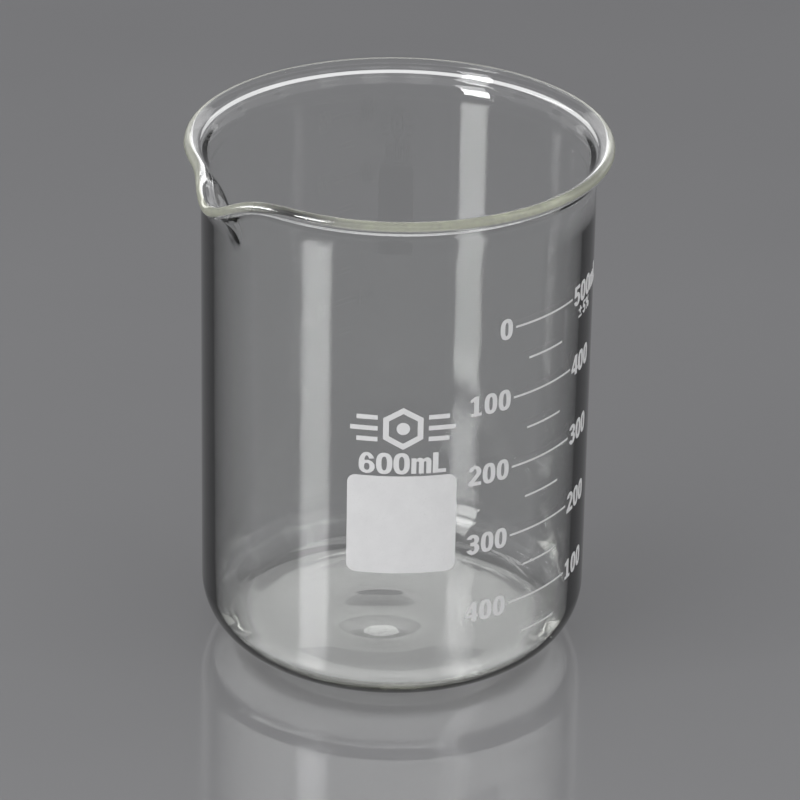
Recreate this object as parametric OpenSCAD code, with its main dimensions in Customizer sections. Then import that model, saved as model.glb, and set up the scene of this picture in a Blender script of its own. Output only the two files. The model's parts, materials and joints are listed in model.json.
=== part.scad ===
// Low-form laboratory beaker with a pouring spout, and its fired-on enamel marking.
// The glass is one blown and fire-polished piece. Each island of enamel is a deposit of its own,
// fused onto the outside of the wall.
// Frame: the origin is the centre of the base, on the plane that the beaker stands on. +Z is up.
// The label faces -Y. Every angle round the wall is measured from the label, and grows towards +X.

/* [Vessel] */
// Outside diameter of the straight wall
body_d = 90; // [88:1:93]
// Height from the standing plane to the top of the rim
body_h = 125; // [120:1:140]
// Thickness of the side wall
wall_t = 2.3; // [2:0.1:2.6]
// Thickness of the floor outside the kick-up
floor_t = 4; // [3.5:0.1:5]
// Outside radius of the heel, between the wall and the base
heel_r = 14; // [12:0.5:14]
// Inside radius of the heel, where the glass is thinner than in the wall
inner_heel_r = 6; // [6:0.5:9]
// Depth of the hollow under the base, which leaves a ring to stand on
hollow_depth = 0.8; // [0.4:0.1:1.2]
// Radius of the round kick-up at the middle of the floor
kick_r = 12; // [8:0.5:13]
// Height of the kick-up above the floor
kick_h = 1.2; // [0.8:0.1:2.5]
// How far the kick-up stands from the axis towards +X
kick_x = -2.8; // [-4:0.1:4]
// How far the kick-up stands from the axis towards +Y
kick_y = -2.2; // [-4:0.1:4]

/* [Rim and spout] */
// Thickness of the fire-polished bead along the rim
bead_d = 2.8; // [2.7:0.1:3.4]
// Distance from the axis to the middle of the bead, beyond the wall's outside
bead_out = 2.5; // [2:0.1:3.5]
// Share of the wall's thickness that is missing at the neck, just below the bead
neck_share = 0.2; // [0:0.05:0.3]
// Height of the flare, from the straight wall to the middle of the bead
flare_h = 7.6; // [6.5:0.1:9]
// Direction of the spout, measured from the label
spout_angle = -55; // [-90:1:-40]
// Distance that the spout's tip stands beyond the round rim
spout_reach = 4.6; // [3:0.1:6]
// Distance that the spout's tip dips below the rim
spout_dip = 3.8; // [2:0.1:4.5]
// Half width of the spout where it leaves the round rim, in degrees
spout_half = 10.2; // [8:0.1:12]
// How strongly the rim is pinched in on both sides of the spout
spout_pinch = 0.32; // [0.2:0.01:0.4]
// Half width of the pouring lip, in degrees
lip_half = 5.4; // [5:0.1:8]
// How far the channel under the lip starts below the flare
channel_drop = 8.4; // [3:0.1:9]

/* [Marking] */
// Thickness of the fired enamel
enamel_t = 0.06; // [0.04:0.01:0.12]
// Width and height of the writing patch
patch_size = 24.6; // [20:0.1:25.5]
// Height of the patch's middle above the base
patch_z = 49.4; // [40:0.1:49.8]
// Height of the capacity's base line
capacity_z = 62.35; // [62:0.05:63]
// Height of the capacity's capitals
capacity_h = 5.1; // [4:0.1:5.4]
// Height of the emblem's middle
emblem_z = 73.6; // [73:0.1:80]
// Width of the emblem
emblem_w = 23.6; // [20:0.1:28]
// Direction of the middle of the scale, measured from the label
scale_angle = 46.3; // [44:0.1:60]
// Height at which the scale would read zero
scale_zero_z = 7.8; // [7:0.1:9]
// Length of a line at a whole 100 mL
long_line = 19.8; // [14:0.1:22]
// Length of a line at a half
short_line = 11.4; // [8:0.1:13]
// Thickness of every line
line_t = 0.5; // [0.3:0.05:0.7]
// Height of the scale's numerals
numeral_h = 4.9; // [4:0.1:5.5]

/* [Hidden] */
$fn = 96;

// Vessel
outer_r = body_d / 2;
inner_r = outer_r - wall_t;
mid_r = outer_r - wall_t / 2;
half_t = wall_t / 2;
ring_r = outer_r - heel_r - 1;
bead_r = bead_d / 2;
rim_r = outer_r + bead_out;
rim_z = body_h - bead_r;
flare_z = rim_z - flare_h;

// The rim is a skin of flat facets that stands in the wall's round top, a hair inside its faces
skin_z = flare_z - channel_drop - 1;
inset = 0.05;
sections = 116;
crowding = 1.4;
arc_steps = 3;
bead_steps = 5;

// Distances below the bead's middle: where sections have their points, where the bead has run out
// into the glass, and where the neck is and how far it spreads
section_stops = [6.4, 5.3, 4.2, 3.3, 2.6, 2, 1.3, 0.6];
bead_taper = 2.8;
neck_below = 3.3;
neck_spread = 1.3;

// Marking
label_facing = -90;
mm_per_100ml = 1e5 / (PI * inner_r * inner_r);
top_line = 500;
numeral_pitch = 0.735 * numeral_h;
numeral_gap = 0.51 * numeral_h;
stroke_w = 0.24;
glyph_steps = 10;

// ---- The glass ----

// Half of a cup's section with a round heel: out to r, with its floor at z
module cup_section(r, z, corner, top) {
    square_from([0, z], [r - corner, top]);
    square_from([r - corner, z + corner], [r, top]);
    intersection() {
        translate([r - corner, z + corner]) circle(corner);
        square_from([r - corner, z], [r, z + corner]);
    }
}

module square_from(low, high) {
    translate(low) square(high - low);
}

module straight_vessel() {
    rotate_extrude() difference() {
        cup_section(outer_r, 0, heel_r, skin_z);
        cup_section(inner_r, floor_t, inner_heel_r, skin_z + 1);
    }
}

// ---- The rim and spout: a skin of sections, each in a plane through the axis ----

// How far the rim moves out at an angle from the spout, as a share of its reach: out at the tip,
// a little in at the shoulders, and nothing further round
function reach_share(a) = let (u = a / spout_half) (1 - spout_pinch * u * u) * exp(-u * u / 2);
function lip_share(a) = exp(-pow(a / lip_half, 2) / 2);

// Half the glass's thickness at a distance s below the bead's middle: bead, narrow neck, wall
function half_at(s) =
    let (
        neck = 1 - neck_share * exp(-pow((s - neck_below) / neck_spread, 2)),
        wall = (half_t - inset) * neck * min(s / 0.9, 1),
        ball = bead_r * sqrt(max(1 - pow(s / bead_taper, 2), 0))
    )
    pow(pow(wall, 6) + pow(ball, 6), 1 / 6);

// One side of a section, from its foot to the bead's tip. side is 1 outside and -1 inside.
// The flare is an arc that starts upright, and the bead ends in a half circle.
function section_side(a, side) =
    let (
        out = rim_r + spout_reach * reach_share(a) - mid_r,
        start_z = flare_z - channel_drop * lip_share(a),
        up = rim_z - spout_dip * lip_share(a) - start_z,
        turn = 2 * atan(out / up),
        bend = up / sin(turn),
        length = bend * turn * PI / 180,
        far = section_stops[0],
        foot_stops = [for (i = [0:arc_steps - 1]) far + (length - far) * (1 - i / arc_steps)],
        centre = [mid_r + bend, start_z],
        tip = centre + bend * [-cos(turn), sin(turn)]
    )
    concat(
        [[mid_r + side * (half_t - inset), skin_z - 1]],
        [for (s = concat(foot_stops, section_stops))
            let (t = turn - s / bend * 180 / PI, radius = bend - side * half_at(s))
            centre + radius * [-cos(t), sin(t)]],
        [for (i = [0:bead_steps])
            let (p = 90 * (1 - i / (bead_steps + 0.5)))
            tip + bead_r * (cos(p) * [sin(turn), cos(turn)] + side * sin(p) * [cos(turn), -sin(turn)])]
    );

// Sections crowd together towards the spout's tip, where the rim bends most
function section_angle(i) = let (x = 2 * i / sections - 1) 180 * sign(x) * pow(abs(x), crowding);

function reversed(list) = [for (i = [len(list) - 1:-1:0]) list[i]];

module rim_skin() {
    ring = 2 * (1 + arc_steps + len(section_stops) + bead_steps + 1);
    points = [for (i = [0:sections - 1])
        let (a = section_angle(i), loop = concat(section_side(a, 1), reversed(section_side(a, -1))))
        each [for (p = loop) [p[0] * cos(a), p[0] * sin(a), p[1]]]];
    walls = [for (i = [0:sections - 1], j = [0:ring - 1])
        let (k = (j + 1) % ring, here = i * ring, next = (i + 1) % sections * ring)
        each [[here + j, here + k, next + k], [here + j, next + k, next + j]]];
    rotate(label_facing + spout_angle) polyhedron(points, walls);
}

module glass_vessel() {
    color([0.86, 0.89, 0.88, 0.35]) difference() {
        union() {
            straight_vessel();
            rim_skin();
            kick_up();
        }
        base_hollow();
    }
}

// The round kick-up stands a little into the floor, so that the two are one piece of glass
module kick_up() {
    sink = 0.3;
    ball = (kick_r * kick_r + kick_h * kick_h) / (2 * kick_h);
    translate([kick_x, kick_y, floor_t]) intersection() {
        translate([0, 0, kick_h - ball]) sphere(ball);
        translate([0, 0, -sink]) cylinder(r = kick_r + 3, h = kick_h + 1);
    }
}

module base_hollow() {
    ball = (ring_r * ring_r + hollow_depth * hollow_depth) / (2 * hollow_depth);
    translate([0, 0, hollow_depth - ball]) sphere(ball);
}

// ---- The enamel ----

enamel_grey = [0.86, 0.87, 0.85];

function height_of(volume) = scale_zero_z + mm_per_100ml * volume / 100;
function degrees_along(length) = length / outer_r * 180 / PI;

// Wraps flat artwork onto the wall, with the artwork's origin at an angle and a height
module printed(angle, z) {
    depth = 5;
    intersection() {
        difference() {
            cylinder(r = outer_r + enamel_t, h = body_h);
            translate([0, 0, -1]) cylinder(r = outer_r, h = body_h + 2);
        }
        rotate(angle) translate([0, depth - outer_r, z]) rotate([90, 0, 0])
            linear_extrude(2 * depth) children();
    }
}

module line_at(volume, length) {
    sweep = degrees_along(length);
    color(enamel_grey) translate([0, 0, height_of(volume) - line_t / 2])
        rotate_extrude(angle = sweep, start = label_facing + scale_angle - sweep / 2)
            translate([outer_r, 0]) square([enamel_t, line_t]);
}

module graduation_line(volume) {
    line_at(volume, long_line);
}

module half_line(volume) {
    line_at(volume, short_line);
}

// ---- Lettering: outlines of unit height, made of straight edges and arcs ----

function arc(centre, radii, from, to) =
    [for (i = [0:glyph_steps]) let (a = from + (to - from) * i / glyph_steps)
        centre + [radii[0] * cos(a), radii[1] * sin(a)]];

// A closed oval, fuller than an ellipse
function oval(centre, radii) =
    let (fullness = 0.8, count = 4 * glyph_steps)
    [for (i = [0:count - 1]) let (a = 360 * i / count)
        centre + [radii[0] * sign(cos(a)) * pow(abs(cos(a)), fullness),
                  radii[1] * sign(sin(a)) * pow(abs(sin(a)), fullness)]];

function zero_outline(w) = oval([w / 2, 0.5], [w / 2, 0.52]);
function zero_hole(w) = oval([w / 2, 0.5], [w / 2 - stroke_w, 0.34]);

function one_outline(w) = [
    [0.05, 0], [w - 0.06, 0], [w - 0.06, 0.15], [w - 0.21, 0.15], [w - 0.21, 1], [w - 0.38, 1],
    [0.04, 0.86], [0.04, 0.7], [w - 0.45, 0.76], [w - 0.45, 0.15], [0.05, 0.15]
];

function two_outline(w) = concat(
    arc([w / 2, 0.7], [w / 2, 0.32], 170, -32),
    [[0.31, 0.18], [w, 0.18], [w, 0], [0, 0], [0, 0.16]],
    arc([w / 2, 0.7], [w / 2 - stroke_w, 0.16], -38, 165)
);

function three_outline(w) = concat(
    arc([w / 2 - 0.01, 0.735], [w / 2 - 0.01, 0.285], 165, -35),
    [[w - 0.15, 0.535]],
    arc([w / 2, 0.29], [w / 2, 0.31], 48, -165),
    arc([w / 2, 0.29], [w / 2 - stroke_w, 0.14], -160, 75),
    [[0.2, 0.445], [0.2, 0.605]],
    arc([w / 2 - 0.01, 0.735], [w / 2 - stroke_w - 0.01, 0.12], -70, 160)
);

function four_outline(w) = [
    [0, 0.2], [0, 0.38], [w / 2 + 0.02, 1], [w - 0.06, 1], [w - 0.06, 0.37], [w + 0.03, 0.37],
    [w + 0.03, 0.2], [w - 0.06, 0.2], [w - 0.06, 0], [w - 0.3, 0], [w - 0.3, 0.2]
];
function four_hole(w) = [[w - 0.3, 0.37], [w - 0.3, 0.73], [0.16, 0.37]];

function five_outline(w) = concat(
    [[0.08, 1], [w - 0.04, 1], [w - 0.04, 0.82], [0.28, 0.82], [0.265, 0.66]],
    arc([w / 2, 0.325], [w / 2, 0.345], 98, -163),
    arc([w / 2, 0.325], [w / 2 - stroke_w, 0.175], -155, 130),
    [[0.05, 0.45]]
);

function six_outline(w) = concat(
    arc([w / 2, 0.5], [w / 2, 0.52], 25, 180),
    arc([w / 2, 0.31], [w / 2, 0.33], 180, 466),
    arc([w / 2, 0.5], [w / 2 - stroke_w, 0.355], 153, 35)
);
function six_hole(w) = oval([w / 2, 0.31], [w / 2 - stroke_w, 0.17]);

module shape(outline, hole, h) {
    difference() {
        polygon(h * outline);
        if (len(hole) > 0) polygon(h * hole);
    }
}

// One numeral, centred on x = 0, with its foot at y = 0. w is its width as a share of its height.
module digit(n, h, w) {
    outlines = [zero_outline(w), one_outline(w), two_outline(w), three_outline(w),
        four_outline(w), five_outline(w), six_outline(w)];
    holes = [zero_hole(w), [], [], [], four_hole(w), [], six_hole(w)];
    translate([-w * h / 2, 0]) shape(outlines[n], holes[n], h);
}

small_m_w = 0.88;
capital_l_w = 0.6;

module small_m(h) {
    outline = concat(
        [[0, 0], [0, 0.76], [0.21, 0.76], [0.22, 0.7]],
        arc([0.37, 0.58], [0.18, 0.2], 135, 50),
        arc([0.69, 0.58], [0.19, 0.2], 140, 0),
        [[small_m_w, 0], [0.66, 0]],
        arc([0.605, 0.54], [0.055, 0.06], 0, 180),
        [[0.55, 0], [0.33, 0]],
        arc([0.275, 0.54], [0.055, 0.06], 0, 180),
        [[0.22, 0]]
    );
    translate([-small_m_w * h / 2, 0]) shape(outline, [], h);
}

module capital_l(h) {
    outline = [[0, 0], [capital_l_w, 0], [capital_l_w, 0.18], [0.245, 0.18], [0.245, 1], [0, 1]];
    translate([-capital_l_w * h / 2, 0]) shape(outline, [], h);
}

module plus_or_minus(h) {
    bar = 0.17 * h;
    arm = 0.6 * h;
    translate([-arm / 2, 0]) square([arm, bar]);
    translate([-arm / 2, 0.54 * h]) square([arm, bar]);
    translate([-bar / 2, 0.54 * h + (bar - arm) / 2]) square([bar, arm]);
}

module percent(h) {
    for (c = [[-0.24, 0.75], [0.24, 0.25]])
        shape(oval(c, [0.17, 0.25]), oval(c, [0.06, 0.13]), h);
    polygon(h * [[-0.27, 0], [-0.15, 0], [0.27, 1], [0.15, 1]]);
}

// ---- The marking's pieces ----

module marking_patch() {
    corner = 2;
    flat = patch_size - 2 * corner;
    color(enamel_grey) printed(0, patch_z) polygon([
        for (c = [[1, 1, 0], [-1, 1, 90], [-1, -1, 180], [1, -1, 270]])
            each arc(flat / 2 * [c[0], c[1]], [corner, corner], c[2], c[2] + 90)
    ]);
}

// The capacity reads 600mL. Its letters are set apart along the wall, each facing straight out.
capacity_w = 0.72;
capacity_gap = 0.045 * capacity_h;
numerals_run = 3 * capacity_w * capacity_h + 2 * capacity_gap;
unit_gap = 0.07 * capacity_h;
unit_run = (small_m_w + capital_l_w) * capacity_h + unit_gap;
capacity_run = numerals_run + unit_run + unit_gap;

module capacity_numerals() {
    number = [6, 0, 0];
    pitch = capacity_w * capacity_h + capacity_gap;
    first = (capacity_w * capacity_h - capacity_run) / 2;
    color(enamel_grey) for (i = [0:2])
        printed(degrees_along(first + i * pitch), capacity_z) digit(number[i], capacity_h, capacity_w);
}

module capacity_unit() {
    start = capacity_run / 2 - unit_run;
    color(enamel_grey) unit(0, start, capacity_z, capacity_h);
}

// The letters mL, starting at a distance along the wall from an angle
module unit(angle, start, z, h) {
    l_start = start + small_m_w * h + 0.07 * h;
    printed(angle + degrees_along(start + small_m_w * h / 2), z) small_m(h);
    printed(angle + degrees_along(l_start + capital_l_w * h / 2), z) capital_l(h);
}

// A plain mark of no maker: a ring with six sides round a dot, with three bars on each side
module emblem() {
    ring_height = 10.4;
    ring_line = 1.3;
    dot_r = 1.5;
    bar_line = 1.1;
    bar_pitch = 2.7;
    bar_gap = 1.2;
    bar_start = ring_height / 2 * cos(30) + bar_gap;
    color(enamel_grey) printed(0, emblem_z) {
        difference() {
            rotate(30) circle(ring_height / 2, $fn = 6);
            rotate(30) circle(ring_height / 2 - ring_line / cos(30), $fn = 6);
        }
        circle(dot_r);
        for (side = [-1, 1], row = [-1:1])
            let (length = emblem_w / 2 - bar_start - 1.4 * abs(row))
            translate([side * (bar_start + length / 2), row * bar_pitch])
                square([length, bar_line], center = true);
    }
}

numeral_w = 0.66;

// A number of hundreds, standing level with its line. side is -1 before the line and 1 after it.
module numeral(volume, reading, side) {
    digits = reading == 0 ? [0] : [floor(reading / 100), 0, 0];
    last = len(digits) - 1;
    color(enamel_grey) for (i = [0:last])
        let (place = side > 0 ? i : i - last)
        printed(scale_angle + degrees_along(side * (long_line / 2 + numeral_gap) + place * numeral_pitch),
            height_of(volume) - numeral_h / 2) digit(digits[i], numeral_h, numeral_w);
}

// What the beaker holds, read upwards at the right of each line
module contents_numeral(volume) {
    numeral(volume, volume, 1);
}

// What has been poured from a full beaker, read downwards at the left of each line
module dispensed_numeral(reading) {
    numeral(top_line - reading, reading, -1);
}

module contents_unit() {
    start = long_line / 2 + numeral_gap + 2.5 * numeral_pitch;
    color(enamel_grey) unit(scale_angle, start, height_of(top_line) - numeral_h / 2, numeral_h);
}

// The tolerance reads +-5%, under the topmost numerals
module tolerance_mark() {
    h = 0.62 * numeral_h;
    z = height_of(top_line) - 0.62 * numeral_h - h;
    start = long_line / 2 + numeral_gap + 0.6 * numeral_pitch;
    pitch = 0.85 * h;
    color(enamel_grey) {
        printed(scale_angle + degrees_along(start), z) plus_or_minus(h);
        printed(scale_angle + degrees_along(start + pitch), z) digit(5, h, numeral_w);
        printed(scale_angle + degrees_along(start + 2 * pitch), z) percent(h);
    }
}

glass_vessel();
marking_patch();
capacity_numerals();
capacity_unit();
emblem();
contents_unit();
tolerance_mark();
for (v = [100:100:top_line]) {
    graduation_line(v);
    half_line(v - 50);
    contents_numeral(v);
    dispensed_numeral(v - 100);
}
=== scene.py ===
"""The looks of a 600 mL laboratory beaker: clear borosilicate glass with a fired enamel marking.

The glass is one piece, built here as a fine, smooth mesh of the CAD vessel's own shape. The
enamel marks are the CAD nodes themselves, with a fired enamel material. Everything is in metres.
"""
import json
import math

import bpy
import numpy as np
from mathutils import Matrix, Vector


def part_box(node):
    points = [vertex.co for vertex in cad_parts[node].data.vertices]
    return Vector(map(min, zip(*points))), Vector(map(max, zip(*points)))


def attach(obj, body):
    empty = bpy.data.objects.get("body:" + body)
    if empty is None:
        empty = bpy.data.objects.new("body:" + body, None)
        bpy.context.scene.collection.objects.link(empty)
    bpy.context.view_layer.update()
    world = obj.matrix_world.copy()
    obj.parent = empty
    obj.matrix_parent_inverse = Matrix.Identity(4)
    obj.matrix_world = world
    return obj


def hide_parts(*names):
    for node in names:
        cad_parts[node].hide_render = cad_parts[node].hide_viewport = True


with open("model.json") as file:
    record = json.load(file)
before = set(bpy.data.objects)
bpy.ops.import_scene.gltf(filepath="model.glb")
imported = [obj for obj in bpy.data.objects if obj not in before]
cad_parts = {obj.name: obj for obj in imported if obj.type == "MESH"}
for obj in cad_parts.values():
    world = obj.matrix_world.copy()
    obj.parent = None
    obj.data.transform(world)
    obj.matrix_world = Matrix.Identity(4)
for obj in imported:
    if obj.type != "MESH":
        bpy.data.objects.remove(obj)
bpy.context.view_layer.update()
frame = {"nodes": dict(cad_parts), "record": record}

MM = 0.001

# ---- Sizes of the glass. What the frame can say is read from it ----

mounts = {m["name"]: m for m in frame["record"]["mounts"]}
OUTER_R = mounts["outer_wall"]["dims"]["r_mm"] * MM
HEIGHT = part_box("glass_vessel")[1].z
WALL = 2.3 * MM
FLOOR = 4 * MM
HEEL_R = 14 * MM
INNER_HEEL_R = 6 * MM
HOLLOW_DEPTH = 0.8 * MM
KICK_R = 12 * MM
KICK_H = 1.2 * MM
KICK_AT = np.array([-2.8, -2.2]) * MM  # where the kick-up stands in the floor
ENAMEL_BED = 0.02 * MM  # how far the enamel has sunk into the glass

BEAD_R = 1.38 * MM
BEAD_OUT = 2.5 * MM  # from the wall's outside to the bead's middle
BEAD_TAPER = 2.8 * MM  # how far below its middle the bead runs out into the glass
FLARE_H = 7.6 * MM
NECK_SHARE = 0.2  # share of the wall's thickness that is missing at the neck
NECK_BELOW = 3.3 * MM  # from the bead's middle to the neck's middle
NECK_SPREAD = 1.3 * MM
WALL_START = 0.9 * MM  # the wall has its full thickness this far below the bead's middle
FINE_ROWS = 6.4 * MM  # the rows are close together this far below the bead's middle

SPOUT_ANGLE = -145  # degrees from +X
SPOUT_REACH = 4.6 * MM
SPOUT_DIP = 3.8 * MM
SPOUT_HALF = 10.2  # degrees
SPOUT_PINCH = 0.32
LIP_HALF = 5.4  # degrees
CHANNEL_DROP = 8.4 * MM
SHOULDER_AT = 24  # degrees from the spout
SHOULDER_SPREAD = 13  # degrees

MID_R = OUTER_R - WALL / 2
RIM_R = OUTER_R + BEAD_OUT
RIM_Z = HEIGHT - BEAD_R
FLARE_Z = RIM_Z - FLARE_H
HEEL_CENTRE_R = OUTER_R - HEEL_R
RING_R = HEEL_CENTRE_R - 1 * MM
INNER_CENTRE_R = OUTER_R - WALL - INNER_HEEL_R
KICK_FOOT_R = KICK_R + 1 * MM
SKIN_Z = FLARE_Z - CHANNEL_DROP - 1 * MM  # below this height the wall is plain and round


# ---- Meshes ----

def column_angles(count=480, crowding=1.3):
    """Angles from the spout, in radians, closer together where the rim bends most."""
    x = np.linspace(-1, 1, count, endpoint=False)
    return math.pi * np.sign(x) * np.abs(x) ** crowding


def half_thickness(s):
    """Half the glass's thickness at a distance s below the bead's middle: bead, neck, wall."""
    neck = 1 - NECK_SHARE * np.exp(-(((s - NECK_BELOW) / NECK_SPREAD) ** 2))
    wall = WALL / 2 * neck * np.clip(s / WALL_START, 0, 1)
    ball = BEAD_R * np.sqrt(np.maximum(1 - (s / BEAD_TAPER) ** 2, 0))
    return (wall ** 6 + ball ** 6) ** (1 / 6)


def rim_rows(a, side):
    """Rows of radius, height and pale-bead share up one side of the flare, and round to the bead's
    tip.

    The side is 1 outside and -1 inside.
    """
    u = np.degrees(a) / SPOUT_HALF
    reach = (1 - SPOUT_PINCH * u * u) * np.exp(-u * u / 2)
    lip = np.exp(-((np.degrees(a) / LIP_HALF) ** 2) / 2)
    out = RIM_R + SPOUT_REACH * reach - MID_R
    start_z = FLARE_Z - CHANNEL_DROP * lip
    up = RIM_Z - SPOUT_DIP * lip - start_z
    turn = 2 * np.arctan(out / up)
    bend = up / np.sin(turn)
    centre_r = MID_R + bend
    coarse = [FINE_ROWS + (bend * turn - FINE_ROWS) * (1 - i / 12) for i in range(12)]
    fine = [FINE_ROWS * (1 - i / 22) for i in range(23)]
    rows = []
    for s in coarse + fine:
        t = turn - s / bend
        radius = bend - side * half_thickness(s)
        rows.append((centre_r - radius * np.cos(t), start_z + radius * np.sin(t), 0))
    tip_r = centre_r - bend * np.cos(turn)
    tip_z = start_z + bend * np.sin(turn)
    # A quarter of the bead's circle, which stops half a step short of the tip
    for i in range(1, 11):
        p = math.pi / 2 * (1 - i / 10.5)
        along, across = BEAD_R * math.cos(p), side * BEAD_R * math.sin(p)
        lean = side * math.degrees(p)
        # The third value is the pale-bead share: the bead's outer side, partly matt and partly a
        # painted glow
        rows.append((
            tip_r + along * np.sin(turn) + across * np.cos(turn),
            tip_z + along * np.cos(turn) - across * np.sin(turn),
            np.interp(lean, (-65, -50, 45, 65), (0, 1, 1, 0)),
        ))
    return rows


def arc_rows(centre_r, centre_z, radius, start, stop, steps):
    """Rows along an arc, with both its ends. Angles are in degrees from +r towards +z."""
    turns = np.radians(np.linspace(start, stop, steps + 1))
    return [(centre_r + radius * math.cos(t), centre_z + radius * math.sin(t), 0) for t in turns]


def kick_height(r):
    """Height of the kick-up above the floor: a shallow dome with a softened foot."""
    u = min(r / KICK_FOOT_R, 1)
    return KICK_H * (1 - u * u) ** 1.35


def glass_rows(a):
    """Every row from the base's middle up the outside, over the rim and in to the floor's middle.

    The second value is the number of rows on the outside.
    """
    ball = (RING_R ** 2 + HOLLOW_DEPTH ** 2) / (2 * HOLLOW_DEPTH)
    outer_r, inner_r = OUTER_R + ENAMEL_BED, OUTER_R - WALL
    rows = []
    for r in np.linspace(0, RING_R, 13)[1:]:
        rows.append((r, HOLLOW_DEPTH - ball + math.sqrt(ball * ball - r * r), 0))
    rows += arc_rows(HEEL_CENTRE_R, HEEL_R, HEEL_R, -90, 0, 26)[:-1]
    for z in np.linspace(HEEL_R, SKIN_Z, 9):
        rows.append((outer_r, z, 0))
    rows += rim_rows(a, 1)
    outer_count = len(rows)
    rows += rim_rows(a, -1)[::-1]
    for z in np.linspace(SKIN_Z, FLOOR + INNER_HEEL_R, 9):
        rows.append((inner_r, z, 0))
    rows += arc_rows(INNER_CENTRE_R, FLOOR + INNER_HEEL_R, INNER_HEEL_R, 0, -90, 26)[1:]
    for r in np.linspace(INNER_CENTRE_R, KICK_FOOT_R, 7)[1:-1]:
        rows.append((r, FLOOR, 0))
    for r in np.linspace(KICK_FOOT_R, 0, 20)[:-1]:
        rows.append((r, FLOOR + kick_height(r), 0))
    return rows, outer_count


def sweep_rows(rows, a, outer_count):
    """Points, pale-bead and outside marks of every row, swept round the axis.

    The pale-bead mark is 1 on the bead's pale face, partly matt and partly a painted glow, and
    outside is 1 from the base up to the bead's tip.
    """
    columns = len(a)
    facing = a + math.radians(SPOUT_ANGLE)
    # The bead's pale face and its painted glow fade nearly to clear at the shoulder on one side of
    # the spout: a painted change of light
    shoulder_glow = 1 - 0.85 * np.exp(-(((np.degrees(a) - SHOULDER_AT) / SHOULDER_SPREAD) ** 2))
    points, frost_and_glow, outside = [], [], []
    for row, (r, z, frost_and_glow_share) in enumerate(rows):
        r, z = np.broadcast_to(r, columns), np.broadcast_to(z, columns)
        x, y = r * np.cos(facing), r * np.sin(facing)
        if z[0] >= FLOOR and r[0] < INNER_CENTRE_R:
            share = min((INNER_CENTRE_R - r[0]) / (INNER_CENTRE_R - KICK_FOOT_R), 1)
            # The floor's rings move over step by step, from the wall's middle to the kick-up's
            x, y = x + KICK_AT[0] * share, y + KICK_AT[1] * share
        points.append(np.column_stack([x, y, z]))
        frost_and_glow.append(frost_and_glow_share * shoulder_glow)
        outside.append(np.full(columns, 1.0 if row < outer_count else 0.0))
    return points, frost_and_glow, outside


def sweep_faces(rows, columns):
    """Quads between the rows, and a fan at each end: under the base and over the kick-up."""
    under, over = rows * columns, rows * columns + 1
    last = (rows - 1) * columns
    faces = []
    for i in range(columns):
        j = (i + 1) % columns
        faces.append((under, j, i))
        for k in range(rows - 1):
            low, high = k * columns, (k + 1) * columns
            faces.append((low + i, low + j, high + j, high + i))
        faces.append((last + i, last + j, over))
    return faces


def make_glass():
    """The glass body, with marks on its points for the pale bead, partly a painted glow, and for the
    outer face.
    """
    a = column_angles()
    rows, outer_count = glass_rows(a)
    points, frost_and_glow, outside = sweep_rows(rows, a, outer_count)
    faces = sweep_faces(len(rows), len(a))
    points = np.vstack(points + [[[0, 0, HOLLOW_DEPTH], [*KICK_AT, FLOOR + KICK_H]]])
    mesh = bpy.data.meshes.new("glass_body")
    mesh.from_pydata(points.tolist(), [], faces)
    mesh.shade_smooth()
    for name, values in (("frost_and_glow", frost_and_glow), ("outside", outside)):
        layer = mesh.attributes.new(name, "FLOAT", "POINT")
        layer.data.foreach_set("value", np.concatenate(values + [[0, 0]]).astype(np.float32))
    body = bpy.data.objects.new("glass_body", mesh)
    bpy.context.scene.collection.objects.link(body)
    return body


# ---- Materials ----

class Graph:
    """A material's node tree, with short ways to add nodes and link them."""

    def __init__(self, name):
        self.material = bpy.data.materials.new(name)
        self.material.use_nodes = True
        self.tree = self.material.node_tree
        self.shader = self.tree.nodes["Principled BSDF"]
        self.output = self.tree.nodes["Material Output"]

    def node(self, kind, inputs=None, **settings):
        made = self.tree.nodes.new("ShaderNode" + kind)
        for name, value in settings.items():
            setattr(made, name, value)
        for name, value in (inputs or {}).items():
            self.feed(made.inputs[name], value)
        return made

    def feed(self, socket, value):
        if isinstance(value, bpy.types.NodeSocket):
            self.tree.links.new(value, socket)
        else:
            socket.default_value = value

    def noise(self, place, scale, detail=2.0, roughness=0.5):
        made = self.node("TexNoise", {
            "Vector": place, "Scale": scale, "Detail": detail, "Roughness": roughness,
        })
        return made.outputs["Fac"]

    def spread(self, value, low, high, to_low=0.0, to_high=1.0):
        made = self.node("MapRange", {
            "Value": value, "From Min": low, "From Max": high, "To Min": to_low, "To Max": to_high,
        })
        return made.outputs["Result"]

    def mix(self, share, first, second):
        made = self.node("Mix", data_type="RGBA")
        self.feed(made.inputs["Factor"], share)
        self.feed(made.inputs["A"], first)
        self.feed(made.inputs["B"], second)
        return made.outputs["Result"]

    def product(self, first, second):
        return self.node("Math", {0: first, 1: second}, operation="MULTIPLY").outputs[0]

    def place(self):
        return self.node("NewGeometry").outputs["Position"]

    def height(self):
        return self.node("SeparateXYZ", {"Vector": self.place()}).outputs["Z"]


CLEAR_TINT = (0.985, 0.99, 0.985, 1)
# Painted shade: near black, for the dark studio that the glass's outer face shows when seen edge on
PAINTED_EDGE_SHADE = (0.002, 0.002, 0.002, 1)
# Partly the bead's own matt face, partly a painted glow of light caught in the bead
BEAD_FROST_AND_GLOW = (0.74, 0.76, 0.60, 1)
EDGE_FADE = 6 * MM  # the painted dark edge fades out over this height, up to the flare
EDGE_FROM, EDGE_FULL = 1.2 * MM, 2 * MM  # heights at which it begins and is whole, at the heel


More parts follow.
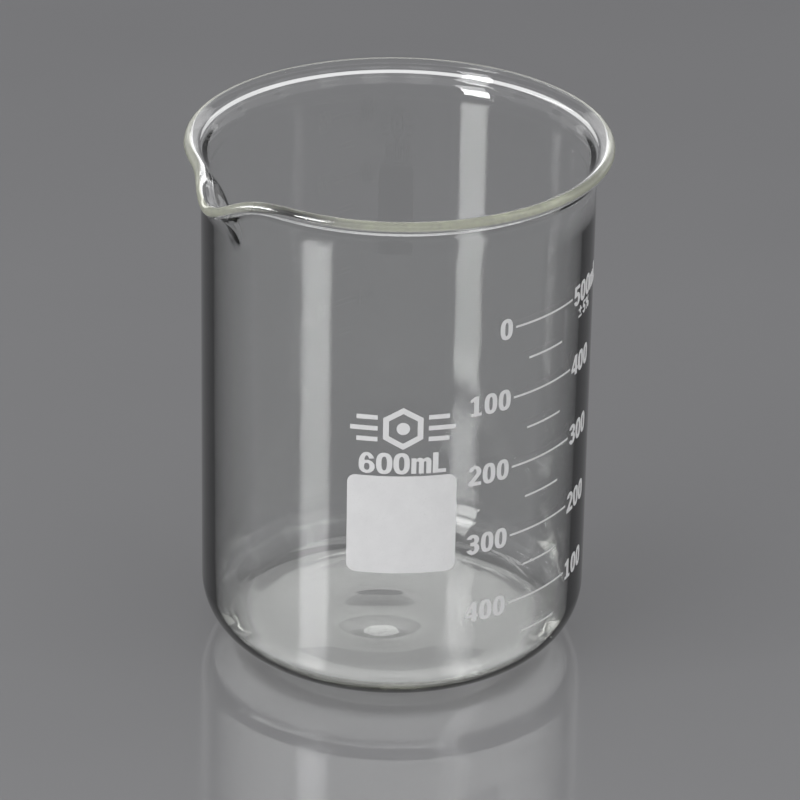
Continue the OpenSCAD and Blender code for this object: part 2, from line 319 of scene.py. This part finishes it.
def glass_material():
    """Clear glass with painted shade where its outer face is seen edge on, and a pale, half-clear
    bead that is partly matt and partly a painted glow.
    """
    g = Graph("borosilicate_glass")
    place = g.place()
    front = g.spread(g.node("NewGeometry").outputs["Backfacing"], 0, 1, 1.0, 0.0)

    # The pale face of the bead, with a faint grain: partly a real matt face, partly a painted glow of
    # light caught in the bead, on faces seen from outside the glass only
    frost_and_glow = g.node("Attribute", attribute_name="frost_and_glow").outputs["Fac"]
    grain = g.noise(place, 700, 3, 0.6)
    frost_and_glow = g.product(g.product(frost_and_glow, front), g.spread(grain, 0.3, 0.7, 0.8, 1.0))

    # Painted shade: the dark of the studio, painted into the outer face's colour and reflections
    # where it is seen edge on, on the straight wall and the heel only
    facing = g.node("LayerWeight", {"Blend": 0.5}).outputs["Facing"]
    outside = g.node("Attribute", attribute_name="outside").outputs["Fac"]
    edge = g.product(g.spread(facing, 0.38, 0.68), g.product(outside, front))
    below_flare = g.spread(g.height(), FLARE_Z - EDGE_FADE, FLARE_Z, 1.0, 0.0)
    above_base = g.spread(g.height(), EDGE_FROM, EDGE_FULL)
    edge = g.product(edge, g.product(below_flare, above_base))

    clear = g.mix(edge, CLEAR_TINT, PAINTED_EDGE_SHADE)
    g.feed(g.shader.inputs["Base Color"], g.mix(frost_and_glow, clear, BEAD_FROST_AND_GLOW))
    g.feed(g.shader.inputs["Specular Tint"], g.mix(edge, (1, 1, 1, 1), (0.5, 0.5, 0.5, 1)))
    g.feed(g.shader.inputs["Transmission Weight"], g.spread(frost_and_glow, 0, 1, 1.0, 0.5))

    # Fire polish: faint smears and slow waves
    smears = g.spread(g.noise(place, 60, 3), 0.35, 0.75, 0.0, 0.02)
    rough = g.node("Math", {0: smears, 1: g.spread(frost_and_glow, 0, 1, 0.0, 0.22)}, operation="ADD")
    g.feed(g.shader.inputs["Roughness"], rough.outputs[0])
    waves = g.noise(place, 45, 2)
    bump = g.node("Bump", {"Height": waves, "Strength": 0.02, "Distance": 1 * MM})
    g.feed(g.shader.inputs["Normal"], bump.outputs["Normal"])
    g.shader.inputs["IOR"].default_value = 1.47
    depth = g.node("VolumeAbsorption", {"Color": (0.66, 0.67, 0.57, 1), "Density": 9})
    g.feed(g.output.inputs["Volume"], depth.outputs["Volume"])
    return g.material


def enamel_material():
    """Fired enamel: light grey-white, slightly mottled, with the fine tooth of a screen print."""
    g = Graph("fired_enamel")
    place = g.place()
    mottle = g.noise(place, 220, 4, 0.6)
    speck = g.noise(place, 2600, 2)
    tone = g.mix(g.spread(mottle, 0.3, 0.7), (0.755, 0.755, 0.755, 1), (0.80, 0.80, 0.80, 1))
    tone = g.mix(g.spread(speck, 0.62, 0.8), tone, (0.70, 0.70, 0.70, 1))
    g.feed(g.shader.inputs["Base Color"], tone)
    g.feed(g.shader.inputs["Roughness"], g.spread(mottle, 0.3, 0.7, 0.34, 0.5))
    bump = g.node("Bump", {"Height": speck, "Strength": 0.35, "Distance": 0.02 * MM})
    g.feed(g.shader.inputs["Normal"], bump.outputs["Normal"])
    return g.material


def floor_material():
    """A plain neutral floor with a soft shine."""
    g = Graph("pale_floor")
    place = g.place()
    cloud = g.noise(place, 6, 2)
    tone = g.mix(g.spread(cloud, 0.3, 0.7), (0.325, 0.325, 0.33, 1), (0.345, 0.345, 0.35, 1))
    g.feed(g.shader.inputs["Base Color"], tone)
    g.feed(g.shader.inputs["Roughness"], g.spread(g.noise(place, 900, 2), 0.3, 0.7, 0.10, 0.13))
    return g.material


# ---- The stage ----

FLOOR_RADIUS = 12
FLOOR_GAP = 0.05 * MM


def make_floor():
    """A wide round floor, just below the beaker's base so that the two never touch."""
    bpy.ops.mesh.primitive_circle_add(
        vertices=96, radius=FLOOR_RADIUS, fill_type="NGON", location=(0, 0, -FLOOR_GAP),
    )
    floor = bpy.context.object
    floor.name = "floor"
    floor.data.materials.append(floor_material())


def softbox(name, azimuth, elevation, distance, width, height, radiance):
    """A soft rectangular light aimed at the beaker. Azimuth is in degrees from -Y towards +X."""
    light = bpy.data.lights.new(name, "AREA")
    light.shape = "RECTANGLE"
    light.size, light.size_y = width, height
    light.energy = radiance * math.pi * width * height
    lamp = bpy.data.objects.new(name, light)
    a, e = math.radians(azimuth), math.radians(elevation)
    away = Vector((math.sin(a) * math.cos(e), -math.cos(a) * math.cos(e), math.sin(e)))
    lamp.location = Vector((0, 0, HEIGHT / 2)) + away * distance
    lamp.rotation_mode = "QUATERNION"
    lamp.rotation_quaternion = (-away).to_track_quat("-Z", "Y")
    lamp.visible_camera = False
    bpy.context.scene.collection.objects.link(lamp)
    return lamp


def make_lights(glass):
    """Soft fills for the print and the floor, and boxes that show only as highlights in the glass."""
    for name, azimuth, elevation, radiance in (
        ("fill_left", -52, 24, 6.3), ("fill_right", 52, 20, 4.2),
    ):
        fill = softbox(name, azimuth, elevation, 1.8, 1.2, 0.9, radiance)
        fill.visible_glossy = fill.visible_transmission = False
    for name, elevation, height, radiance in (
        ("strip_low", 20, 0.55, 30), ("strip_high", 37, 0.36, 8),
    ):
        strip = softbox(name, -50, elevation, 1.6, 0.46, height, radiance)
        strip.visible_diffuse = False

    # The rest lights the glass only: from behind for the floor's bright disc and the white line
    # under the back of the rim, from high behind for the kick-up, and round the sides and the
    # front for the rest of the rim
    only_glass = bpy.data.collections.new("glass_only")
    only_glass.objects.link(glass)
    lamps = []
    for name, azimuth, elevation, width, height, radiance in (
        ("back_high", 180, 24, 3.4, 0.56, 1.2), ("back_low", 180, 0, 3.4, 0.7, 0.65),
        ("kick_light", 187, 46, 0.6, 0.2, 3.5),
    ):
        lamps.append(softbox(name, azimuth, elevation, 1.5, width, height, radiance))
    for azimuth in range(-120, 121, 30):
        elevation = float(np.interp(abs(azimuth), (0, 30, 60, 90, 120), (44, 43, 36, 26, 14)))
        radiance = float(np.interp(abs(azimuth), (30, 90), (0.75, 0.65)))
        lamps.append(softbox("rim_light", azimuth, elevation, 1.5, 0.9, 0.45, radiance))
    for lamp in lamps:
        lamp.visible_diffuse = False
        lamp.light_linking.receiver_collection = only_glass


def make_world():
    world = bpy.data.worlds.new("studio")
    world.use_nodes = True
    world.node_tree.nodes["Background"].inputs["Color"].default_value = (0.24, 0.24, 0.25, 1)
    bpy.context.scene.world = world


def make_camera():
    """The camera looks down at the beaker from the front, a little to the left of the label."""
    distance, elevation, turn = 1.06055, 26.093, -2.5  # metres, then degrees
    pan, tilt, roll = 0.063, -0.191, 1.012  # degrees, the camera's own fine aim
    data = bpy.data.cameras.new("camera")
    data.lens, data.sensor_width = 205.42, 36
    data.clip_start, data.clip_end = 0.01, 100
    camera = bpy.data.objects.new("camera", data)
    aim = (Matrix.Rotation(math.radians(turn), 4, "Z")
           @ Matrix.Rotation(math.radians(90 - elevation), 4, "X"))
    back = aim @ Vector((0, 0, distance))
    fine = (Matrix.Rotation(math.radians(-pan), 4, "Y")
            @ Matrix.Rotation(math.radians(tilt), 4, "X")
            @ Matrix.Rotation(math.radians(roll), 4, "Z"))
    camera.matrix_world = Matrix.Translation(back + Vector((0, 0, HEIGHT / 2))) @ aim @ fine
    bpy.context.scene.collection.objects.link(camera)
    bpy.context.scene.camera = camera


make_camera()
make_world()
make_floor()

glass = make_glass()
make_lights(glass)
glass.data.materials.append(glass_material())
glass.visible_shadow = False
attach(glass, "root")
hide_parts("glass_vessel")

enamel = enamel_material()
for name, node in frame["nodes"].items():
    if name != "glass_vessel":
        node.data.materials.clear()
        node.data.materials.append(enamel)

scene = bpy.context.scene
scene.view_settings.view_transform = "Standard"
scene.cycles.caustics_refractive = False
scene.cycles.caustics_reflective = False
scene.cycles.max_bounces = 24
scene.cycles.transmission_bounces = 24
scene.cycles.glossy_bounces = 24
